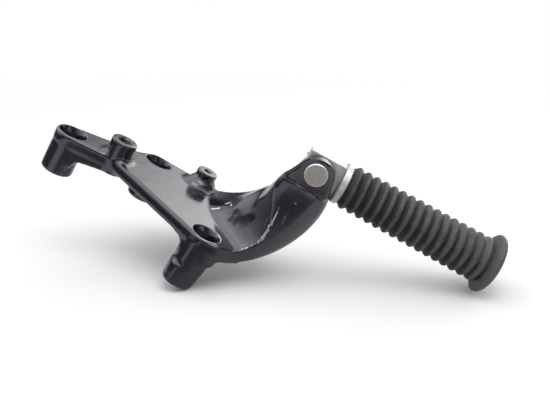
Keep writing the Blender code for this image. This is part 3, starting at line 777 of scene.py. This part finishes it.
def make_casting(settings):
    """The hanger's cast form, remade from its solid and machined again."""
    form = bpy.data.objects.new("casting", frame["nodes"]["hanger"].data.copy())
    bpy.context.scene.collection.objects.link(form)
    plugs = bmesh.new()
    plugs.from_mesh(form.data)
    plug_bores(plugs, settings)
    plugs.to_mesh(form.data)
    plugs.free()
    soften(form, settings)
    hollow_saddle(form, settings)
    mesh = machine(form, fork_cutters(settings) + hole_cutters(settings))
    shade(mesh, 50)
    bpy.data.objects.remove(form)
    return mesh


# Footrest


FLARE_POWER = 0.9  # that shapes the neck into the flare
RIM_FALL = 1.3  # how far the rim turns inward, in shares of its roundness
CURVE_STEPS = 8
DISH_STEPS = 6
DISH_MIDDLE = 0.6 * MM  # radius of the small flat in the middle of the end


def sleeve_profile(settings):
    """(radius, distance) points of the sleeve's outside, from its open end to its dished end."""
    points = []
    for k in range(settings.rib_count):
        share = k / (settings.rib_count - 1)
        crest = settings.rib_radius + (settings.last_rib_radius - settings.rib_radius) * share
        middle = settings.first_rib + settings.rib_pitch * k
        for i in range(CURVE_STEPS + 1):
            if i == CURVE_STEPS and k < settings.rib_count - 1:
                continue  # the next rib starts here
            t = i / CURVE_STEPS * 2 - 1
            bulge = max(0.0, math.cos(math.pi * t / 2)) ** settings.rib_roundness
            radius = crest - settings.rib_height * (1 - bulge)
            points.append((radius, middle + t * settings.rib_pitch / 2))
    neck_radius, neck = points[-1]
    wide = settings.flare_radius
    crest = settings.sleeve_length - settings.flare_rim
    for k in range(1, CURVE_STEPS + 1):
        t = k / CURVE_STEPS
        rise = math.sin(math.pi * t / 2) ** FLARE_POWER
        points.append((neck_radius + (wide - neck_radius) * rise, neck + (crest - neck) * t))
    for k in range(1, CURVE_STEPS + 1):
        angle = math.pi / 2 * k / CURVE_STEPS
        radius = wide - settings.flare_rim * RIM_FALL * (1 - math.cos(angle))
        points.append((radius, crest + settings.flare_rim * math.sin(angle)))
    inner = points[-1][0]
    for k in range(1, DISH_STEPS + 1):
        t = k / DISH_STEPS
        depth = settings.end_dish * (1 - (1 - t) ** 2)
        points.append((inner * (1 - t) + DISH_MIDDLE * t, settings.sleeve_length - depth))
    return points


def raise_seam(bm, bore, settings):
    """Raise a moulding line along each side of the sleeve, outside its bore."""
    seam = math.radians(-90 - settings.seam_angle)
    for vert in bm.verts:
        radius = math.hypot(vert.co.x, vert.co.y)
        if radius < bore + 0.5 * MM:
            continue
        angle = math.atan2(vert.co.y, vert.co.x)
        share = 0.0
        for line in (seam, seam + math.pi):
            away = abs((angle - line + math.pi) % (2 * math.pi) - math.pi) * radius
            share = max(share, 1 - away / settings.seam_width)
        grow = 1 + settings.seam_height * share / radius
        vert.co.x *= grow
        vert.co.y *= grow


def make_sleeve(settings):
    """Ribbed rubber on the footrest's rod, open at the collar and closed at its flared end."""
    bore = settings.rod_radius + settings.seat_gap
    outside = sleeve_profile(settings)
    first, edge = outside[0][0], settings.open_edge
    profile = [(bore, settings.rod_length), (bore, 0.0), (first - edge, 0.0), (first, edge)]
    bm = bmesh.new()
    revolve(bm, profile + outside[1:], Matrix.Identity(4), settings.sleeve_segments)
    raise_seam(bm, bore, settings)
    bmesh.ops.transform(bm, matrix=sleeve_frame(settings), verts=bm.verts)
    mesh = bpy.data.meshes.new("ribbed_sleeve")
    bm.to_mesh(mesh)
    bm.free()
    shade(mesh, 60)
    return mesh


def sleeve_frame(settings):
    """The footrest's axis, tilted about the pivot, with its origin at the sleeve's open end."""
    tilt = Matrix.Rotation(-math.radians(settings.rest_tilt), 4, "Y")
    start = Matrix.Translation((settings.sleeve_start, 0, -settings.bar_drop))
    lay = Matrix.Rotation(math.pi / 2, 4, "Y")
    return Matrix.Translation(PIVOT) @ tilt @ start @ lay


# Settings


def length(name, value, description):
    return bpy.props.FloatProperty(
        name=name, description=description, default=value, unit="LENGTH", precision=5)


def tint(name, value, description):
    return bpy.props.FloatVectorProperty(
        name=name, description=description, default=value, subtype="COLOR", size=3, min=0, max=1)


def number(name, value, description):
    return bpy.props.FloatProperty(name=name, description=description, default=value, precision=3)


def count(name, value, description):
    return bpy.props.IntProperty(name=name, description=description, default=value, min=1)


class HangerSettings(bpy.types.PropertyGroup):
    """Sizes and colours of the casting and its pin."""

    skin_step: length("Skin step", 0.75 * MM, "Mesh spacing of the cast skin")
    fillet: length("Fillet", 2.4 * MM, "Radius that fills the casting's inner corners")
    smooth_passes: count("Smoothing", 5, "Passes that round the casting's edges")
    saddle_pull: length("Saddle pull", 3.5 * MM, "Depth of the hollow in the arm's left side")
    blend_passes: count("Blend passes", 60, "Smoothing passes where the arm's sides meet")
    edge_break: length("Edge break", 0.5 * MM, "Chamfer at the mouths of machined holes")
    counterbore_radius: length("Counterbore radius", 9.35 * MM, "Radius of the screw head seats")
    counterbore_depth: length("Counterbore depth", 15.0 * MM, "Depth of the screw head seats")
    bolt_hole_radius: length("Bolt hole radius", 5.3 * MM, "Radius of the bolt holes")
    rim_radius: length("Rim radius", 9.8 * MM, "Radius of the rubbed ring round each counterbore")
    pedal_thread_radius: length("Pedal thread", 4.4 * MM, "Radius of the wide tapped hole")
    pedal_thread_depth: length("Pedal thread depth", 25.0 * MM, "Depth of the wide tapped hole")
    pedal_thread_pitch: length("Pedal thread pitch", 1.5 * MM, "Pitch of the wide tapped hole")
    switch_thread_radius: length("Switch thread", 2.6 * MM, "Radius of the narrow tapped hole")
    switch_thread_depth: length("Switch thread depth", 14.0 * MM, "Depth of the narrow tapped hole")
    switch_thread_pitch: length("Switch thread pitch", 1.0 * MM, "Pitch of the narrow tapped hole")
    switch_boss: bpy.props.FloatVectorProperty(
        name="Switch boss", description="Centre of the narrow tapped boss",
        default=(-18.2 * MM, 72.2 * MM, 0), subtype="XYZ", unit="LENGTH")
    fork_width: length("Fork width", 24.0 * MM, "Width across the fork's machined faces")
    slot_depth: length("Slot depth", 12.5 * MM, "Depth of the fork's slot below the pivot")
    spot_face_below: length("Spot face below", 11.3 * MM, "Machined face's reach below the pivot")
    spot_face_above: length("Spot face above", 7.8 * MM, "Machined face's reach above the pivot")
    spot_face_left: length("Spot face left", 8.9 * MM, "Near machined face's reach to the left")
    spot_corner: length("Spot corner", 4.0 * MM, "Radius of the near machined face's left corners")
    spot_face_tilt: number("Spot face tilt", 6.5, "Degrees that the near machined face leans")
    ear_top_shift: length("Ear top shift", 1.17 * MM, "Offset of the near ear's top from the pivot")
    ear_top_radius: length("Ear top radius", 11.6 * MM, "Radius of the near ear's rounded top")
    lug_thickness: length("Lug thickness", 8.0 * MM, "Thickness of the footrest's lug")
    pin_radius: length("Pin radius", 4.8 * MM, "Radius of the pivot pin")
    seat_gap: length("Seat gap", 0.3 * MM, "Clearance between seated pieces")
    paint_color: tint("Paint", (0.005, 0.006, 0.019), "Black paint")
    dust_color: tint("Dust", (0.09, 0.09, 0.10), "Dust on the paint")
    bare_color: tint("Bare metal", (0.85, 0.86, 0.88), "Metal under the paint")
    paint_roughness: number("Paint roughness", 0.13, "Roughness of clean paint")
    paint_specular: number("Paint specular", 1.0, "Strength of the paint's reflections")


class FootrestSettings(bpy.types.PropertyGroup):
    """Sizes and colours of the footrest bar and its rubber."""

    rest_tilt: number("Rest tilt", 1.0, "Degrees that the open footrest rises outward")
    bar_drop: length("Bar drop", 0.5 * MM, "Height of the pivot above the bar's axis")
    bar_edge: length("Bar edge", 0.4 * MM, "Width of the broken edges on the footrest bar")
    sleeve_start: length("Sleeve start", 20.2 * MM, "Distance of the open end from the pivot")
    sleeve_length: length("Sleeve length", 104.0 * MM, "Length of the rubber")
    sleeve_segments: count("Sleeve segments", 120, "Sides of the rubber")
    open_edge: length("Open edge", 0.4 * MM, "Chamfer round the rubber's open end")
    rod_radius: length("Rod radius", 7.0 * MM, "Radius of the rod in the rubber")
    rod_length: length("Rod length", 94.0 * MM, "Length of the rod in the rubber")
    seat_gap: length("Seat gap", 0.3 * MM, "Clearance between seated pieces")
    rib_count: count("Ribs", 16, "Number of ribs")
    rib_pitch: length("Rib pitch", 6.05 * MM, "Distance between ribs")
    first_rib: length("First rib", 3.7 * MM, "Distance of the first rib from the open end")
    rib_radius: length("Rib radius", 14.0 * MM, "Radius over the first rib")
    last_rib_radius: length("Last rib radius", 15.0 * MM, "Radius over the last rib")
    rib_height: length("Rib height", 2.2 * MM, "Height of a rib")
    rib_roundness: number("Rib roundness", 1.5, "Power that shapes a rib's section")
    flare_radius: length("Flare radius", 19.5 * MM, "Radius of the flared end")
    flare_rim: length("Flare rim", 3.0 * MM, "Roundness of the flared end's rim")
    end_dish: length("End dish", 1.2 * MM, "Hollow of the end face")
    seam_angle: number("Seam angle", 10.0, "Degrees of the moulding line above the near side")
    seam_width: length("Seam width", 0.8 * MM, "Half width of the moulding line")
    seam_height: length("Seam height", 0.3 * MM, "Height of the moulding line")
    rubber_color: tint("Rubber", (0.018, 0.018, 0.023), "Unworn rubber")
    # Grey of rubbed or dusty rubber, also used for the painted sheen on the flared end
    wear_and_sheen_color: tint("Worn rubber", (0.085, 0.085, 0.094), "Rubbed or dusty rubber")
    aluminium_color: tint("Aluminium", (0.62, 0.62, 0.63), "Bare cast aluminium")


class StageSettings(bpy.types.PropertyGroup):
    """Camera, floor and lights."""

    camera_place: bpy.props.FloatVectorProperty(
        name="Camera", description="Where the camera stands",
        default=(-16.1 * MM, -429.0 * MM, 220.8 * MM), subtype="XYZ", unit="LENGTH")
    camera_back: bpy.props.FloatVectorProperty(
        name="Camera back", description="Direction from the object to the camera",
        default=(-0.096, -0.942, 0.322), subtype="DIRECTION")
    camera_up: bpy.props.FloatVectorProperty(
        name="Camera up", description="The picture's upright direction",
        default=(-0.486, 0.326, 0.811), subtype="DIRECTION")
    lens: number("Lens", 49.09, "Focal length in millimetres")
    table_up: bpy.props.FloatVectorProperty(
        name="Table up", description="The table's upright direction in the part's frame",
        default=(-0.49, -0.02, 0.87), subtype="DIRECTION")
    floor_size: length("Floor size", 20.0, "Width of the white floor")
    # Radii of the painted shade on the table in front, seen only in what the table throws back
    near_table: length("Near table", 0.07, "Radius of the dim patch of table in front")
    far_table: length("Far table", 0.2, "Radius at which the table is bright again")
    room_level: number("Room level", 0.1, "Brightness of the room near the horizon")
    overhead_level: number("Overhead level", 1.9, "Brightness that the ceiling adds")
    left_level: number("Left level", 0.7, "Brightness that the wall on the left adds")
    rear_level: number("Rear level", 2.5, "Brightness that the window behind adds")
    light_share: number("Light share", 0.57, "Share of the room's brightness that isn't mirrored")
    panel_level: number("Panel level", 1.9, "Brightness of the soft panel overhead")


# Operators


class DressHanger(bpy.types.Operator):
    """Remake the casting with soft cast edges, worn paint and machined holes"""

    bl_idname = "footrest.dress_hanger"
    bl_label = "Dress hanger"

    def execute(self, context):
        settings = context.scene.hanger_looks
        mesh, paint = make_casting(settings), paint_finish(settings)
        casting = link("hanger_casting", mesh, "hanger", paint)
        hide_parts("hanger")
        return {"FINISHED"}


class DressPin(bpy.types.Operator):
    """Finish the pivot pin, its washer and its split pin"""

    bl_idname = "footrest.dress_pin"
    bl_label = "Dress pivot pin"

    def execute(self, context):
        steel = rusty_steel_finish()
        for name in ("pivot_pin", "pin_washer", "split_pin"):
            finish_node(name, steel, PIN_EDGE)
        return {"FINISHED"}


class DressFootrest(bpy.types.Operator):
    """Finish the footrest bar and make the ribbed rubber sleeve"""

    bl_idname = "footrest.dress_footrest"
    bl_label = "Dress footrest"

    def execute(self, context):
        settings = context.scene.footrest_looks
        finish_node("footrest_bar", cast_aluminium_finish(settings), settings.bar_edge)
        mesh, rubber = make_sleeve(settings), rubber_finish(settings)
        sleeve = link("ribbed_sleeve", mesh, "footrest", rubber)
        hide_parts("rubber_sleeve")
        return {"FINISHED"}


class SetStage(bpy.types.Operator):
    """Set the camera, the white table, the plain room and the soft light"""

    bl_idname = "footrest.set_stage"
    bl_label = "Set stage"

    def execute(self, context):
        settings = context.scene.footrest_stage
        up = Vector(settings.table_up).normalized()
        back = Vector(settings.camera_back).normalized()
        away = (up * back.dot(up) - back).normalized()
        table = Matrix((away.cross(up), away, up)).transposed()
        make_camera(context, settings)
        make_floor(context, settings, table)
        make_room(context, settings, table)
        soft_panel("overhead_panel", table, PANEL_PLACE, PANEL_SIZE, settings.panel_level)
        return {"FINISHED"}


class FootrestPanel(bpy.types.Panel):
    """Lists the steps that dress the footrest hanger"""

    bl_idname = "VIEW3D_PT_footrest_hanger"
    bl_label = "Footrest hanger"
    bl_space_type = "VIEW_3D"
    bl_region_type = "UI"
    bl_category = "Footrest"

    def draw(self, context):
        for operator in OPERATORS:
            self.layout.operator(operator.bl_idname)


# Stage


DIM_PATCH = (-0.02, -0.15, 0)  # middle of the painted shade on the table, in the table's own frame
TABLE_TONE = 0.85
DIM_TONE = 0.18
HORIZON = (0.45, 0.8)  # distances over which the table melts into the white behind it
PANEL_PLACE = (0.35, -0.35, 1.15)
PANEL_SIZE = (0.9, 0.7)
# Fades of the room's bright parts toward the right, away from the camera and upward
CEILING = (0.12, 0.95)
LEFT_WALL = ((-0.3, -0.7), (-0.45, 0.0), (0.1, 0.35))
REAR_WINDOW = ((0.06, 0.35), (0.3, 0.7), (0.6, 0.4))


def make_camera(context, settings):
    """Camera in the photo's place, with plain colours."""
    back = Vector(settings.camera_back).normalized()
    side = Vector(settings.camera_up).cross(back).normalized()
    up = back.cross(side)
    data = bpy.data.cameras.new("camera")
    data.lens = settings.lens
    data.clip_start = 0.01
    camera = bpy.data.objects.new("camera", data)
    context.scene.collection.objects.link(camera)
    turn = Matrix((side, up, back)).transposed().to_4x4()
    camera.matrix_world = Matrix.Translation(settings.camera_place) @ turn
    context.scene.camera = camera
    context.scene.view_settings.view_transform = "Standard"


def table_finish(settings):
    """White to the camera, with painted shade in front for the light that it throws back, clear from below."""
    material = bpy.data.materials.new("white_table")
    graph = Graph(material)
    seen = graph.node("ShaderNodeLightPath", {}, {}, "Is Camera Ray")
    below = graph.node("ShaderNodeNewGeometry", {}, {}, "Backfacing")
    place = graph.place()
    # Painted shade: a dim patch in front, seen only in the table's reflections and bounced light
    front = place.minus(DIM_PATCH).length().step(settings.far_table, settings.near_table)
    tone = graph.mix(front, grey(TABLE_TONE), grey(DIM_TONE))
    color = graph.mix(seen, tone, grey(1.0))
    lit = graph.node("ShaderNodeBsdfDiffuse", {}, {"Color": color})
    glow = graph.node("ShaderNodeEmission", {}, {})
    distant = place.length().step(*HORIZON) * seen
    white = graph.node("ShaderNodeMixShader", {}, {0: distant, 1: lit, 2: glow})
    clear = graph.node("ShaderNodeBsdfTransparent", {}, {})
    both = graph.node("ShaderNodeMixShader", {}, {0: below, 1: white, 2: clear})
    graph.node("ShaderNodeOutputMaterial", {}, {"Surface": both})
    return material


def make_floor(context, settings, table):
    """Table under the lowest point of the object."""
    up = table @ Vector((0, 0, 1))
    height = min(up.dot(vertex.co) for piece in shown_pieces() for vertex in piece.data.vertices)
    bm = bmesh.new()
    bmesh.ops.create_grid(bm, x_segments=1, y_segments=1, size=settings.floor_size / 2)
    mesh = bpy.data.meshes.new("floor")
    bm.to_mesh(mesh)
    bm.free()
    mesh.materials.append(table_finish(settings))
    floor = bpy.data.objects.new("floor", mesh)
    floor.matrix_world = Matrix.Translation(up * height) @ table.to_4x4()
    context.scene.collection.objects.link(floor)
    floor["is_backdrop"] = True


def make_room(context, settings, table):
    """White to the camera; a plain room for the light, at its full level for mirrored rays only."""
    world = bpy.data.worlds.new("room")
    graph = Graph(world)
    seen = graph.node("ShaderNodeLightPath", {}, {}, "Is Camera Ray")
    direction = Arrow(graph, graph.node("ShaderNodeTexCoord", {}, {}, "Generated").socket)
    mirrored = graph.node("ShaderNodeLightPath", {}, {}, "Is Glossy Ray")
    right, behind, rise = (direction.along(table.col[i]) for i in range(3))

    def part(fades):
        return right.step(*fades[0]) * behind.step(*fades[1]) * rise.step(*fades[2])

    level = rise.step(*CEILING) * settings.overhead_level
    level = level + part(LEFT_WALL) * settings.left_level
    level = level + part(REAR_WINDOW) * settings.rear_level + settings.room_level
    level = level * (settings.light_share + mirrored * (1 - settings.light_share))
    strength = level * (1 - seen) + seen
    values = {"Color": grey(1.0), "Strength": strength}
    light = graph.node("ShaderNodeBackground", {}, values)
    graph.node("ShaderNodeOutputWorld", {}, {"Surface": light})
    context.scene.world = world


def soft_panel(name, table, place, size, level):
    """Area light that faces the object, placed along the table's right, away and up."""
    data = bpy.data.lights.new(name, "AREA")
    data.shape = "RECTANGLE"
    data.size, data.size_y = size
    data.energy = level * math.pi * size[0] * size[1]
    panel = bpy.data.objects.new(name, data)
    point = table @ Vector(place)
    panel.location = point
    panel.rotation_euler = point.to_track_quat("Z", "Y").to_euler()
    panel.visible_camera = False
    bpy.context.scene.collection.objects.link(panel)


OPERATORS = (DressHanger, DressPin, DressFootrest, SetStage)
GROUPS = {
    "hanger_looks": HangerSettings,
    "footrest_looks": FootrestSettings,
    "footrest_stage": StageSettings,
}


def register():
    for group in (*GROUPS.values(), *OPERATORS, FootrestPanel):
        bpy.utils.register_class(group)
    for name, group in GROUPS.items():
        setattr(bpy.types.Scene, name, bpy.props.PointerProperty(type=group))


def unregister():
    for name in GROUPS:
        delattr(bpy.types.Scene, name)
    for group in (FootrestPanel, *OPERATORS, *GROUPS.values()):
        bpy.utils.unregister_class(group)


def main():
    register()
    bpy.ops.footrest.dress_hanger()
    bpy.ops.footrest.dress_pin()
    bpy.ops.footrest.dress_footrest()
    bpy.ops.footrest.set_stage()


if __name__ == "__main__":
    main()
